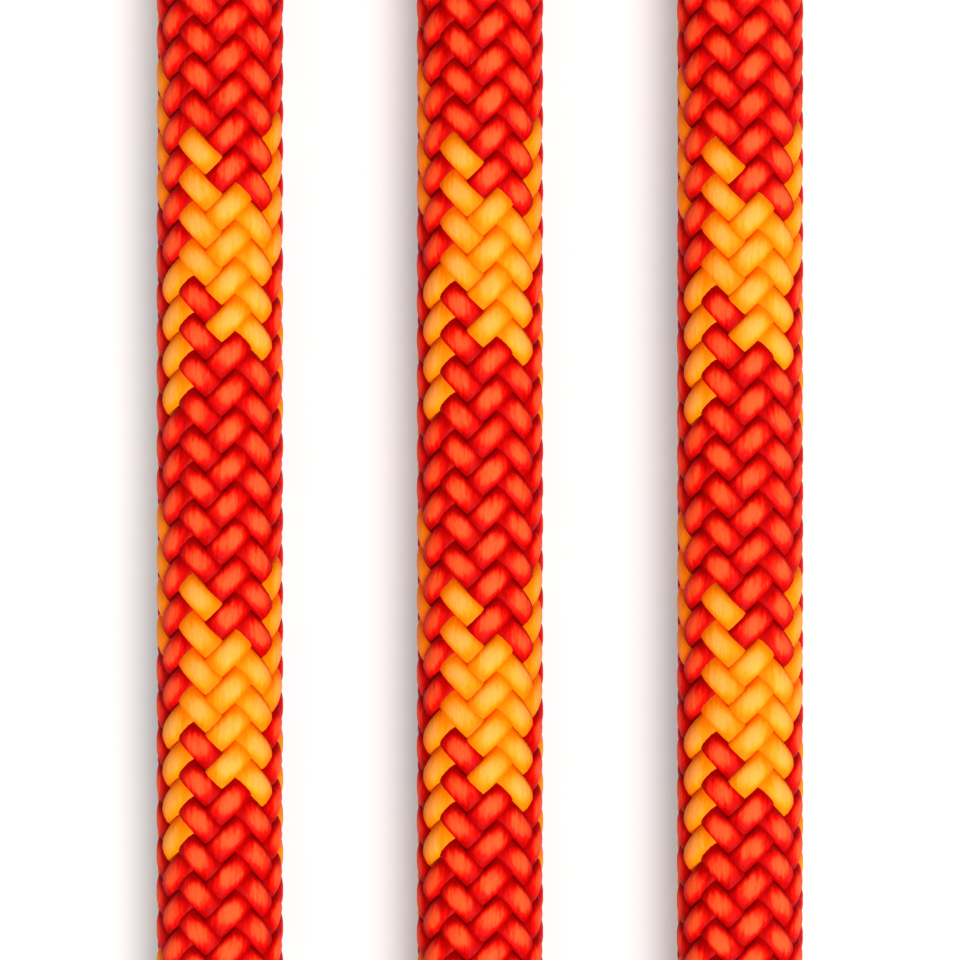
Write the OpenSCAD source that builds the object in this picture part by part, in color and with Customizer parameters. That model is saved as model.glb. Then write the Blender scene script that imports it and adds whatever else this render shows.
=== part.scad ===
// Dynamic climbing rope: a kernmantle rope laid out flat in three straight runs, with the rest
// of its length put away in a round coil that three straps hold. Millimetres, +Z up; the origin
// is on the floor under the middle of the whole rope's box.

/* [Rope] */
// Outside diameter of the rope
rope_d = 10; // [8.9:0.1:11]
// Whole length of the rope, end to end
rope_length = 60000; // [50000:1000:70000]
// Thickness of the braided sheath
sheath_wall = 1.1; // [0.8:0.05:1.4]

/* [Core] */
// Free space between neighbouring core strands
strand_gap = 0.25; // [0.1:0.05:0.4]
// Free space between the core and the bore of the sheath
core_seat = 0.3; // [0.2:0.05:0.4]
// Width of the marker tape that runs along the core
tape_w = 1.8; // [1:0.1:2]
// Thickness of the marker tape
tape_t = 0.2; // [0.1:0.05:0.25]

/* [Rope ends] */
// Length of the shrink sleeve on each end
sleeve_length = 45; // [30:1:50]
// Wall of the shrink sleeve
sleeve_wall = 0.6; // [0.4:0.1:1]
// Free space between rope and shrink sleeve
sleeve_seat = 0.2; // [0.1:0.05:0.4]
// Length of the fused tip that closes each end
tip_length = 3; // [2:0.5:5]
// Chamfer round the fused tip's outer edge
tip_chamfer = 0.8; // [0.3:0.1:1.2]
// How far each shrink sleeve reaches over the fused tip
tip_cover = 1.5; // [0.5:0.25:2]

/* [Coil] */
// Layers of turns that are wound round the middle turn
coil_layers = 4; // [3:1:4]
// Free space between neighbouring turns
turn_gap = 0.6; // [0.55:0.05:0.8]
// Angle between the winding's first turn and its last one, where the rope goes in and out
way_in_angle = 17.5; // [17:0.5:20]
// Free space between the outer layer of turns and the turns inside it
layer_seat = 0.3; // [0.2:0.1:0.6]
// Depth of the flat that the coil rests on
rest_flat = 1; // [0.6:0.1:1.2]

/* [Straps] */
// Width of each strap
strap_w = 20; // [12:1:24]
// Thickness of each strap
strap_t = 1.2; // [0.8:0.1:2]
// Free space between a strap and the turns it holds
strap_seat = 0.3; // [0.2:0.1:0.6]
// Angle that the closed end of a strap overlaps itself, degrees
strap_overlap = 70; // [40:5:100]

/* [Hidden] */

red = [0.86, 0.10, 0.05];
yellow = [0.98, 0.62, 0.12];
white = [0.93, 0.92, 0.88];
black = [0.09, 0.09, 0.10];

rope_r = rope_d / 2;
sleeve_r = rope_r + sleeve_seat + sleeve_wall;
round_fn = 96;

// ---- Route of the free stretch ------------------------------------------------------------
// The runs lie along Y at x = -20.4, 0 and 20.4, and are straight from y = -46 to y = 46.
// The turn-back beyond y = 46 leaves the left run, bulges left and comes down the middle run.
run_x = 20.4;
straight_y = 46;
turn_back = [
    [-21.8, 53.8],
    [-26, 60.6],
    [-32.2, 65.5],
    [-39.2, 71.4],
    [-43.4, 79.8],
    [-43.6, 89],
    [-40.2, 97.4],
    [-33.4, 103.8],
    [-24.8, 106.8],
    [-15.6, 106],
    [-7.4, 101.4],
    [-2, 94]
];
// The near end and the far end of the route, and the heights of the rope's middle on the way
near_end_y = -107;
junction_y = 170;
lowered_y = -50;

lying_z = rope_r;
propped_z = sleeve_r;
function lying(points) = [for (p = points) [p[0], p[1], lying_z]];
function turned_half(points) = [for (i = [len(points) - 1:-1:0]) -points[i]];

route = concat(
    [[-run_x, near_end_y, propped_z], [-run_x, near_end_y + sleeve_length, propped_z]],
    lying([for (y = [lowered_y, -23, 0, 23, straight_y]) [-run_x, y]]),
    lying(turn_back),
    lying([for (y = [85, straight_y, 23, 0, -23, -straight_y, -85]) [0, y]]),
    lying(turned_half(turn_back)),
    lying([for (y = [-straight_y, -23, 0, 23, straight_y, 76, 108, 140, junction_y]) [run_x, y]])
);

// ---- Sweeping a section along a route -----------------------------------------------------
function unit(v) = v / norm(v);
function last(list) = list[len(list) - 1];
function sum(list, i = 0) = i < len(list) ? list[i] + sum(list, i + 1) : 0;
function steps(line) = [for (i = [0:len(line) - 2]) line[i + 1] - line[i]];
function length_of(line) = sum([for (s = steps(line)) norm(s)]);

// Direction at a point: halfway between the directions of the stretches that meet there
function heading(line, i) =
    let (before = i > 0 ? unit(line[i] - line[i - 1]) : [0, 0, 0])
    let (after = i < len(line) - 1 ? unit(line[i + 1] - line[i]) : [0, 0, 0])
    unit(before + after);

// Section points are [across, up] from the middle of the rope
function swept(line, section) = [
    for (i = [0:len(line) - 1])
        let (ahead = heading(line, i))
        let (across = unit(cross(ahead, [0, 0, 1])))
        let (up = cross(across, ahead))
        for (q = section) line[i] + across * q[0] + up * q[1]
];

function polygon_section(r, sides, middle = [0, 0]) = [
    for (k = [0:sides - 1])
        let (a = -90 + 360 * k / sides)
        middle + r * [cos(a), sin(a)]
];

// Triangles of a tube's side, from ring to ring; `first` is the number of its first point
function side_faces(rings, sides, first = 0) = [
    for (i = [0:rings - 2], k = [0:sides - 1])
        let (a = first + i * sides + k)
        let (b = first + i * sides + (k + 1) % sides)
        for (face = [[a, b, b + sides], [a, b + sides, a + sides]]) face
];
function flipped(faces) = [for (f = faces) [f[2], f[1], f[0]]];
// A fan that closes one end, with the section's points in their own order
function end_faces(sides, first) = [for (k = [1:sides - 2]) [first, first + k, first + k + 1]];
// A ring of triangles between an outer and an inner section of as many sides
function rim_faces(sides, outer, inner) = [
    for (k = [0:sides - 1])
        let (n = (k + 1) % sides)
        for (face = [[outer + k, outer + n, inner + n], [outer + k, inner + n, inner + k]]) face
];

module solid_sweep(line, section) {
    rings = len(line);
    sides = len(section);
    polyhedron(
        points = swept(line, section),
        faces = concat(
            side_faces(rings, sides),
            flipped(end_faces(sides, 0)),
            end_faces(sides, (rings - 1) * sides)
        ),
        convexity = 6
    );
}

module hollow_sweep(line, outer, inner) {
    rings = len(line);
    sides = len(outer);
    shift = rings * sides;
    end = (rings - 1) * sides;
    polyhedron(
        points = concat(swept(line, outer), swept(line, inner)),
        faces = concat(
            side_faces(rings, sides),
            flipped(side_faces(rings, sides, shift)),
            flipped(rim_faces(sides, 0, shift)),
            rim_faces(sides, end, shift + end)
        ),
        convexity = 6
    );
}

// ---- Core ---------------------------------------------------------------------------------
sheath_sides = 12;
strand_sides = 6;
bore_r = rope_r - sheath_wall;
// The bore's flats are nearer to the middle than its corners
clear_bore_r = bore_r * cos(180 / sheath_sides);
strand_r = (clear_bore_r - core_seat - strand_gap) / 3;
strand_ring_r = 2 * strand_r + strand_gap;
strands_round = 6;
// The tape lies over the groove between two strands
tape_low = strand_ring_r * cos(180 / strands_round) + strand_r + 0.1;

function strand_middle(k) =
    let (a = 360 * k / strands_round)
    strand_ring_r * [cos(a), sin(a)];

// ---- Coil ---------------------------------------------------------------------------------
slots = 6 * coil_layers;
outer_turns = slots - 1;
inner_turns = 1 + 3 * coil_layers * (coil_layers - 1);
slot_angle = (360 - way_in_angle) / outer_turns;
turn_rings = 24;
turn_sides = 6;
// Radius of the outer layer, measured from the middle of the bundle to the middle of its turns
layer_r = (rope_d + turn_gap) / 2 / sin(slot_angle / 2);
bundle_r = layer_r + rope_r;
bundle_z = bundle_r - rest_flat;

// The winding starts low on the outside, goes under the bundle, up the inside, over the top and
// down the outside, and ends just above its start
first_slot = -60;
last_slot = first_slot + way_in_angle;
lead_run = 110;
lead_low_y = -52;
lead_ys = [-100, -76, lead_low_y, -38, -24, -12];
tail_low_y = 64;
tail_ys = [10, 22, 36, 50, tail_low_y];
tail_end_y = 124;

straight_length = length_of(route) + lead_run + tail_end_y;
coil_r = (rope_length - straight_length) / (2 * PI * (outer_turns + inner_turns));

strap_angles = [82.5, 187.5, 292.5];
strap_r = bundle_r + strap_seat;
strap_lift = strap_r + strap_t - bundle_z;
lift_from = 180 / turn_rings;
lift_to = 32;

function eased(t) = let (c = max(0, min(1, t))) c * c * (3 - 2 * c);
function turn_apart(a, b) = let (d = abs(a - b) % 360) min(d, 360 - d);
function nearest_strap(a) = min([for (s = strap_angles) turn_apart(a, s)]);
// The bundle rises over each strap that passes beneath it
function lift(a) =
    strap_lift * (1 - eased((nearest_strap(a) - lift_from) / (lift_to - lift_from)));

// A point of the winding after n turns, from the middle of the coil
function wound(n) =
    let (slot = first_slot - slot_angle * n)
    let (r = coil_r + layer_r * cos(slot))
    [r * cos(360 * n), r * sin(360 * n), bundle_z + layer_r * sin(slot) + lift(360 * n % 360)];

lead_x = coil_r + layer_r * cos(first_slot);
lead_z = bundle_z + layer_r * sin(first_slot);
tail_x = coil_r + layer_r * cos(last_slot);
tail_z = bundle_z + layer_r * sin(last_slot);

lead_in = concat(
    [[lead_x, -lead_run, lying_z]],
    [for (y = lead_ys) [lead_x, y, lying_z + (lead_z - lying_z) * eased(1 - y / lead_low_y)]]
);
winding = [for (i = [0:outer_turns * turn_rings]) wound(i / turn_rings)];
tail_out = concat(
    [for (y = tail_ys) [tail_x, y, tail_z + (propped_z - tail_z) * eased(y / tail_low_y)]],
    [[tail_x, tail_end_y, propped_z]]
);
coil_line = concat(lead_in, winding, tail_out);

coil_middle = [run_x - lead_x, junction_y + lead_run, 0];
function on_floor(points) = [for (p = points) [p[0], p[1], max(p[2], 0)]];
coil_points = on_floor(swept(coil_line, polygon_section(rope_r, turn_sides)));

// Chords of the outer layer come nearer to the inner turns than its corners do
chord_sag = (coil_r + layer_r) * (1 - cos(180 / turn_rings));
inner_bundle_r = layer_r - rope_r - norm([chord_sag, strap_lift / 2]) - layer_seat;

// Least gap of the winding to itself, between the points of stretches over one turn_skip apart
turn_skip = 18;
self_gap = min([
    for (i = [0:len(coil_line) - 1], j = [i + turn_skip:1:len(coil_line) - 1])
        norm(coil_line[i] - coil_line[j])
]) - rope_d;

// ---- Origin -------------------------------------------------------------------------------
near_tip_y = near_end_y - tip_length;
function box_of(points, axis) = let (v = [for (p = points) p[axis]]) [min(v), max(v)];
function shared(boxes) = [min([for (b = boxes) b[0]]), max([for (b = boxes) b[1]])];
sheath_points = swept(route, polygon_section(rope_r, sheath_sides));
x_box = shared([box_of(sheath_points, 0), box_of(coil_points, 0) + coil_middle[0] * [1, 1]]);
y_box = shared([
    box_of(sheath_points, 1),
    box_of(coil_points, 1) + coil_middle[1] * [1, 1],
    near_tip_y * [1, 1]
]);
origin = [(x_box[0] + x_box[1]) / 2, (y_box[0] + y_box[1]) / 2, 0];

module placed() { translate(-origin) children(); }
module at_coil() { placed() translate(coil_middle) children(); }

// ---- Pieces -------------------------------------------------------------------------------
module sheath() {
    color(red) placed() hollow_sweep(
        route,
        polygon_section(rope_r, sheath_sides),
        polygon_section(bore_r, sheath_sides)
    );
}

module core_strand(middle) {
    color(white) placed() solid_sweep(route, polygon_section(strand_r, strand_sides, middle));
}

module marker_tape() {
    low = tape_low;
    high = tape_low + tape_t;
    half = tape_w / 2;
    color(yellow) placed() solid_sweep(
        route,
        [[-half, low], [half, low], [half, high], [-half, high]]
    );
}

// A shrink sleeve lies along +Y from its inner end; its far rim is at y = 0
module end_sleeve() {
    rotate([90, 0, 0]) linear_extrude(sleeve_length) difference() {
        circle(sleeve_r, $fn = round_fn);
        circle(rope_r + sleeve_seat, $fn = round_fn);
    }
}

// A fused tip stands on the rope's cut face at y = 0 and closes it towards +Y
module end_tip() {
    rotate([-90, 0, 0]) rotate_extrude($fn = round_fn) polygon([
        [0, 0],
        [rope_r, 0],
        [rope_r, tip_length - tip_chamfer],
        [rope_r - tip_chamfer, tip_length],
        [0, tip_length]
    ]);
}

module at_near_end() { placed() translate(route[0]) rotate([0, 0, 180]) children(); }
module at_far_end() { at_coil() translate(last(coil_line)) children(); }

module near_end_sleeve() { color(black) at_near_end() translate([0, tip_cover, 0]) end_sleeve(); }
module near_end_tip() { color(yellow) at_near_end() end_tip(); }
module far_end_sleeve() { color(black) at_far_end() translate([0, tip_cover, 0]) end_sleeve(); }
module far_end_tip() { color(yellow) at_far_end() end_tip(); }

module coil_outer_turns() {
    rings = len(coil_line);
    color(red) at_coil() polyhedron(
        points = coil_points,
        faces = concat(
            side_faces(rings, turn_sides),
            flipped(end_faces(turn_sides, 0)),
            end_faces(turn_sides, (rings - 1) * turn_sides)
        ),
        convexity = 10
    );
}

module coil_inner_turns() {
    color(red) at_coil() translate([0, 0, bundle_z + strap_lift / 2])
        rotate_extrude($fn = round_fn)
            translate([coil_r, 0]) circle(inner_bundle_r, $fn = round_fn);
}

// A band from angle `from` to angle `to`, outside radius r
module band(r, from, to) {
    reach = 2 * r;
    difference() {
        intersection() {
            circle(r + strap_t, $fn = round_fn);
            polygon([
                [0, 0],
                reach * [cos(from), sin(from)],
                reach * [cos((from + to) / 2), sin((from + to) / 2)],
                reach * [cos(to), sin(to)]
            ]);
        }
        circle(r, $fn = round_fn);
    }
}

strap_close_angle = 20;
module coil_strap(angle) {
    color(black) at_coil() rotate([0, 0, angle])
        translate([coil_r * cos(180 / turn_rings), 0, bundle_z + strap_lift])
            rotate([90, 0, 0]) linear_extrude(strap_w, center = true) {
                difference() {
                    circle(strap_r + strap_t, $fn = round_fn);
                    circle(strap_r, $fn = round_fn);
                }
                band(strap_r + strap_t, strap_close_angle, strap_close_angle + strap_overlap);
            }
}

sheath();
core_strand([0, 0]);  // core_strand_middle
core_strand(strand_middle(0));  // core_strand_1
core_strand(strand_middle(1));  // core_strand_2
core_strand(strand_middle(2));  // core_strand_3
core_strand(strand_middle(3));  // core_strand_4
core_strand(strand_middle(4));  // core_strand_5
core_strand(strand_middle(5));  // core_strand_6
marker_tape();
near_end_sleeve();
near_end_tip();
far_end_sleeve();
far_end_tip();
coil_outer_turns();
coil_inner_turns();
coil_strap(strap_angles[0]);  // coil_strap_1
coil_strap(strap_angles[1]);  // coil_strap_2
coil_strap(strap_angles[2]);  // coil_strap_3

union() {  // coil_outer_turns
    echo(least_gap_of_the_winding_to_itself = self_gap);
    echo(origin = origin, coil_r = coil_r, layer_r = layer_r, bundle_z = bundle_z);
    echo(coil_middle = coil_middle - origin, strap_lift = strap_lift);
    echo(near_end = route[0] - origin, far_end = coil_middle + last(coil_line) - origin);
    echo(strand_r = strand_r, inner_bundle_r = inner_bundle_r, free_length = straight_length);
}
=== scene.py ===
# %% [markdown]
# # A dynamic climbing rope
#
# A climbing rope is a bundle of core strands inside a braided sheath. This one lies on a table: one
# end, three straight runs that fold back on each other, and then the rest of its sixty metres in a
# round coil that three straps hold. The packed CAD model fixes every size and place. It is loaded
# first, and each piece below is drawn in its frame, in metres.

# %% Load the frame
import math

import bpy
import numpy as np
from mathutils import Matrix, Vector


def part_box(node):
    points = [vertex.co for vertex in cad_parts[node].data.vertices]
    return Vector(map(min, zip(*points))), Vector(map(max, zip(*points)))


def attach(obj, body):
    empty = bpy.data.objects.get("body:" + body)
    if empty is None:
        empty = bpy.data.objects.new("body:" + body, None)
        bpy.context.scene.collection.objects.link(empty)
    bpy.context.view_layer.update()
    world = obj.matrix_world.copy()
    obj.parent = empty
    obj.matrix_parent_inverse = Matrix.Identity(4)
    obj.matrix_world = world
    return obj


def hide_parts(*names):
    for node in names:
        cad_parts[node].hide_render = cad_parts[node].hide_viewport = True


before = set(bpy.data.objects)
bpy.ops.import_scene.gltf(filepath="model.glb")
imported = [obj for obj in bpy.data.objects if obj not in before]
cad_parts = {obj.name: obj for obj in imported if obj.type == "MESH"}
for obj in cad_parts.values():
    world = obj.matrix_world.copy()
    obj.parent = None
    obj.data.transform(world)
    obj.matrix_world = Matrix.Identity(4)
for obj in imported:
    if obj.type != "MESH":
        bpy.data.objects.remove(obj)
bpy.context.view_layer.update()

# %% [markdown]
# ## The rope's own sizes
#
# The braid has twelve yarns each way, and four neighbours of each twelve are yellow. A yarn goes
# once round the rope in one lay length. It passes over two of the others, then under two, so what
# shows is a column of short floats, then a column of floats that lean the other way. These few
# numbers rule every braided piece below.

# %% Sizes, in millimetres
MM = 0.001
FULL_TURN = 2 * math.pi
rope_r = 5.0
lay_length = 34.85
yarns_each_way = 12
yellow_yarns = 4
yarn_count = 2 * yarns_each_way
yarn_step = FULL_TURN / yarns_each_way
waves_per_lay = yarns_each_way / 2
crossings_per_lay = 2 * yarns_each_way
crossing = lay_length / crossings_per_lay

sleeve_length = 45.0
tip_length = 3.0
tip_cover = 1.5
sleeve_r = 5.8
print("yarns meet every", round(crossing, 3), "mm of rope")

# %% [markdown]
# ## The line that the rope follows
#
# A cord is drawn from the line through its middle, so the line comes first. These are the points
# of the CAD route, from the near end to where the coil begins. A stiff rope can't fold, so each
# turn between two runs swells out into a loop.

# %% The route's points
run_x = 20.4
straight_y = 46.0
near_end_y = -107.0
sleeve_inner_y = near_end_y + sleeve_length
junction_y = 170.0
lying_z = rope_r
propped_z = sleeve_r
turn_back = [
    (-21.8, 53.8),
    (-26, 60.6),
    (-32.2, 65.5),
    (-39.2, 71.4),
    (-43.4, 79.8),
    (-43.6, 89),
    (-40.2, 97.4),
    (-33.4, 103.8),
    (-24.8, 106.8),
    (-15.6, 106),
    (-7.4, 101.4),
    (-2, 94),
]
turned_back = [(-x, -y) for x, y in reversed(turn_back)]
left_ys = (-50, -23, 0, 23, straight_y)
middle_ys = (85, straight_y, 23, 0, -23, -straight_y, -85)
right_ys = (-straight_y, -23, 0, 23, straight_y, 76, 108, 140, junction_y)

flat_route = [(-run_x, y) for y in left_ys] + turn_back
flat_route += [(0, y) for y in middle_ys] + turned_back
flat_route += [(run_x, y) for y in right_ys]
route = [(-run_x, near_end_y - tip_length, propped_z), (-run_x, sleeve_inner_y, propped_z)]
route += [(x, y, lying_z) for x, y in flat_route]
print(len(route), "points on the route")

# %% [markdown]
# ## The coil
#
# The coil's place and size are read from its CAD pieces: the ring of inner turns gives its middle
# and its radius, and the near end's sleeve gives the place of the route. Sixty turns lie in layers
# round a middle turn. Twenty-three of them make the outer layer, and their spacing gives that
# layer's radius.

# %% The coil's place and size
ring_low, ring_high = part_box("coil_inner_turns")
ring_size = (ring_high - ring_low) / MM
ring_middle = (ring_high + ring_low) / 2 / MM
coil_r = ring_size.x / 2 - ring_size.z / 2
coil_place = Vector((ring_middle.x, ring_middle.y, 0))

sleeve_low, sleeve_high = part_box("near_end_sleeve")
shift = Vector((
    (sleeve_low.x + sleeve_high.x) / 2 / MM + run_x,
    sleeve_high.y / MM - (sleeve_inner_y - tip_cover),
    0,
))

total_turns = 60
outer_turns = 23
inner_layers = 3
turn_gap = 0.6
layer_step = 10.2
first_slot = -60.0
between_ends = 17.5
last_slot = first_slot + between_ends
slot_angle = (360 - between_ends) / outer_turns
layer_r = (2 * rope_r + turn_gap) / 2 / math.sin(math.radians(slot_angle / 2))
bundle_r = layer_r + rope_r
rest_flat = 1.0
bundle_z = bundle_r - rest_flat
print("coil radius", round(coil_r, 2), "mm, outer layer radius", round(layer_r, 2), "mm")

# %% [markdown]
# The straps pass under the bundle, so its turns rise a little over each of them. A smooth step
# serves here and wherever else something changes gently.

# %% The bundle's rise over its straps
strap_angles = (82.5, 187.5, 292.5)
strap_width = 20.0
strap_t = 1.2
strap_gap = 0.3
strap_r = bundle_r + strap_gap
strap_lift = strap_r + strap_t - bundle_z
strap_flat = 7.5
strap_slope = 32


def eased(t):
    """From 0 to 1, with a gentle start and end."""
    t = np.clip(t, 0, 1)
    return t * t * (3 - 2 * t)


def lift(angle):
    """How far the bundle rises at this angle round the coil."""
    apart = np.min([np.abs((angle - s + 180) % 360 - 180) for s in strap_angles], axis=0)
    return strap_lift * (1 - eased((apart - strap_flat) / (strap_slope - strap_flat)))


print("the bundle rises", round(strap_lift, 2), "mm over a strap")

# %% [markdown]
# The winding starts in the outer layer, dives to the layer below it, works inwards to the middle
# turn and out again, and ends with the outer layer. Each turn moves on by one place as it goes
# round, so that the rope never crosses itself. Two tables say this: the angle round the bundle's
# section, and the layer, after so many turns.

# %% Where the turns lie
dive_in, dive_deep, climb_out, back_out = 1.4, 1.65, 38.7, 38.95
slot_back = 270.2 + slot_angle * 0.05
slot_turns, slots = zip(
    (0, first_slot),
    (dive_in, first_slot - slot_angle * dive_in),
    (dive_deep, -90),
    (11, 90),
    (17, -90),
    (20, 90),
    (21, 90),
    (24, 270),
    (30, 90),
    (climb_out, 268),
    (back_out, slot_back),
    (total_turns, last_slot),
)
layer_turns, layers = np.array([
    (0, 4), (dive_in, 4), (dive_deep, 3), (10.9, 3), (11.1, 2), (16.9, 2), (17.1, 1), (20, 1),
    (20.2, 0), (20.8, 0), (21, 1), (23.9, 1), (24.1, 2), (29.9, 2), (30.1, 3), (climb_out, 3),
    (back_out, 4), (total_turns, 4),
]).T
layer_radii = np.where(layers <= inner_layers, layer_step * layers, layer_r)


def layer_radius(turn):
    """Distance from the bundle's middle after so many turns."""
    at = np.searchsorted(layer_turns, turn, side="right").clip(1, len(layers) - 1)
    before, after = layer_turns[at - 1], layer_turns[at]
    r = layer_radii
    return r[at - 1] + (r[at] - r[at - 1]) * eased((turn - before) / (after - before))


def wound(turn):
    """Points of the winding after so many turns, from the middle of the coil on the floor."""
    turn = np.asarray(turn, float)
    slot = np.radians(np.interp(turn, slot_turns, slots))
    across = layer_radius(turn)
    round_angle = np.radians(360 * turn)
    r = coil_r + across * np.cos(slot)
    z = bundle_z + across * np.sin(slot) + lift(360 * turn % 360)
    return np.stack([r * np.cos(round_angle), r * np.sin(round_angle), z], axis=-1)


start_x, _, start_z = wound(0)
end_x, _, end_z = wound(total_turns)
print("the winding starts", round(float(start_z), 1), "mm up and ends", round(float(end_z), 1), "mm up")

# %% [markdown]
# The rope runs under the coil to the first turn, and leaves the last turn beside it, sinking to the
# table. Both stretches go straight along Y and only change height. The curve through all these
# points must not bulge where a straight run meets a bend, so at each point the longer neighbour
# decides the direction.

# %% One smooth line from end to end
lead_rise = 52
lead_ys = (-100, -76, -52, -38, -24, -12)
tail_fall = 64
tail_ys = (10, 22, 36, 50, 64)
tail_end_y = 124.0
turn_points = 1000
turn_part = 0.02

lead_zs = [lying_z + (start_z - lying_z) * float(eased(1 + y / lead_rise)) for y in lead_ys]
lead = [(start_x, y, z) for y, z in zip(lead_ys, lead_zs)]
tail_zs = [end_z + (propped_z - end_z) * float(eased(y / tail_fall)) for y in tail_ys]
tail = [(end_x, y, z) for y, z in zip(tail_ys, tail_zs)]
tail += [(end_x, tail_end_y + tip_length, propped_z)]


def smooth(points, spacing=0.25):
    """A smooth line through the points, with a point on it about every quarter of a millimetre."""
    points = np.array(points, float)
    steps = np.diff(points, axis=0)
    size = np.linalg.norm(steps, axis=1)
    way = steps / size[:, None]
    weight = size[:, None] ** 3
    turn = np.vstack([way[:1], way[:-1] * weight[:-1] + way[1:] * weight[1:], way[-1:]])
    turn /= np.linalg.norm(turn, axis=1)[:, None]
    line = []
    for i, length in enumerate(size):
        t = np.arange(0, 1, spacing / length)[:, None]
        line.append(
            points[i] * (2 * t**3 - 3 * t**2 + 1)
            + turn[i] * length * (t**3 - 2 * t**2 + t)
            + points[i + 1] * (3 * t**2 - 2 * t**3)
            + turn[i + 1] * length * (t**3 - t**2)
        )
    return np.vstack(line + [points[-1:]])


route_at, coil_at = np.array(shift), np.array(coil_place)
free = [np.array(p) + route_at for p in route] + [np.array(p) + coil_at for p in lead]
joined = smooth(free + list(wound([0, turn_part]) + coil_at))
free_line = joined[joined[:, 1] < coil_place.y]
coil_line = wound(np.arange(0, total_turns, 1 / turn_points)) + coil_at
last_part = [wound(total_turns - turn_part), wound(total_turns)]
tail_line = smooth(last_part + [np.array(p) for p in tail])
tail_line = tail_line[tail_line[:, 1] > 0] + coil_at
line = np.vstack([free_line, coil_line, tail_line])
run = np.concatenate([[0], np.cumsum(np.linalg.norm(np.diff(line, axis=0), axis=1))])
rope_length = run[-1]
print("the line is", round(rope_length * MM, 3), "m long")

# %% [markdown]
# Every place on the rope is now one number, its distance from the near end. At each place the rope
# also has its own three directions: ahead, across and up. The braid is drawn in these.


# %% Places along the rope
def near(x, y):
    """Distance along the rope to the place that lies nearest to x, y of the route."""
    apart = np.linalg.norm(free_line[:, :2] - (np.array([x, y]) + route_at[:2]), axis=1)
    return run[apart.argmin()]


def points_at(distance):
    """Points of the line at these distances along the rope, in millimetres."""
    return np.stack([np.interp(distance, run, line[:, i]) for i in range(3)], axis=-1)


def places(distance, either_way=0.4):
    """Position, across and up at these distances along the rope."""
    distance = np.asarray(distance, float)
    ahead = points_at(distance + either_way) - points_at(distance - either_way)
    ahead /= np.linalg.norm(ahead, axis=1)[:, None]
    across = np.cross(ahead, (0, 0, 1))
    across /= np.linalg.norm(across, axis=1)[:, None]
    return points_at(distance), across, np.cross(across, ahead)


# The skins of the outer turns run on a little below the layer above them
coil_first = len(free_line)
tucked_points = 60
marks = {
    "start": 0.0,
    "left_low": near(-run_x, -straight_y),
    "left_high": near(-run_x, straight_y),
    "middle_high": near(0, straight_y),
    "middle_low": near(0, -straight_y),
    "right_low": near(run_x, -straight_y),
    "right_high": near(run_x, straight_y),
    "coil_start": run[coil_first],
    "dive_deep": run[coil_first + int(dive_deep * turn_points) + tucked_points],
    "climb_out": run[coil_first + int(climb_out * turn_points) - tucked_points],
    "coil_end": run[coil_first + len(coil_line)],
    "end": rope_length,
}
print({name: round(float(value), 1) for name, value in marks.items()})

# %% [markdown]
# ## Camera
#
# The camera looks straight down, from far away with a long lens, so that the three runs look
# alike. It goes in before the pieces, because the length that it doesn't see has to be put away
# neatly.

# %% Camera
view_width = 75.29
lens = 400.0
sensor = 36.0
camera_data = bpy.data.cameras.new("camera")
camera_data.lens = lens
camera_data.sensor_width = sensor
camera_height = rope_r + view_width * lens / sensor


def put(name, data):
    """A new object with this data, at the scene's origin."""
    thing = bpy.data.objects.new(name, data)
    bpy.context.scene.collection.objects.link(thing)
    return thing


camera = put("camera", camera_data)
camera.location = (shift + Vector((0, 0, camera_height))) * MM
bpy.context.scene.camera = camera
print("the camera is", round(camera_height), "mm above the table")

# %% [markdown]
# ## How the braid lies
#
# Two numbers say how the braid lies at a place on the rope. The first counts lays from a fixed
# yarn, and the second is how far the whole rope is twisted about its own line. On the straight
# runs both are set, so that the coloured yarns come up where they should. Between the runs they
# change slowly, as a rope lets them in a bend.

# %% Lay and twist
column_angle = -19.6
middle_twist = -20.8
left_figure_y, middle_figure_y, right_figure_y = 16.91, 19.52, 16.33
at_left = near(-run_x, left_figure_y)
at_middle = near(0, middle_figure_y)
at_right = near(run_x, right_figure_y)


def whole_lays(distance):
    """What a count of lays lacks to be a whole number, at the nearest."""
    lays = (distance - at_left) / lay_length
    return round(lays) - lays


lay_offsets = [0, whole_lays(at_middle), whole_lays(at_middle), whole_lays(at_right)]
twists = [0, middle_twist, middle_twist, 0]


def blended(distance, values):
    """The value of the run that the place is on, changing smoothly over each bend."""
    a, b, c, d = (marks[k] for k in ("left_high", "middle_high", "middle_low", "right_low"))
    first = values[0] + (values[1] - values[0]) * eased((distance - a) / (b - a))
    return first + (values[3] - values[2]) * eased((distance - c) / (d - c))


def lay_at(distance):
    """Lays from the fixed yarn to this distance along the rope."""
    return (distance - at_left) / lay_length + blended(distance, lay_offsets)


print("lay offsets", [round(float(x), 3) for x in lay_offsets])

# %% [markdown]
# ## Small helpers for node trees
#
# Both Geometry Nodes and materials are node trees. One class wraps a socket, so that plain Python
# sums make Math nodes, and one method adds any other node.


# %% Sockets that can be added and multiplied
class Link:
    """A node's output. Sums with it make Math or Vector Math nodes in its tree."""

    def __init__(self, tree, socket):
        self.tree = tree
        self.socket = socket

    def __add__(self, other):
        return self.tree.maths("ADD", self, other)

    def __radd__(self, other):
        return self.tree.maths("ADD", other, self)

    def __sub__(self, other):
        return self.tree.maths("SUBTRACT", self, other)

    def __rsub__(self, other):
        return self.tree.maths("SUBTRACT", other, self)

    def __mul__(self, other):
        return self.tree.maths("MULTIPLY", self, other)

    def __rmul__(self, other):
        return self.tree.maths("MULTIPLY", other, self)

    def __truediv__(self, other):
        return self.tree.maths("DIVIDE", self, other)

    def __rtruediv__(self, other):
        return self.tree.maths("DIVIDE", other, self)

    def __neg__(self):
        return self * -1.0


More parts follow.
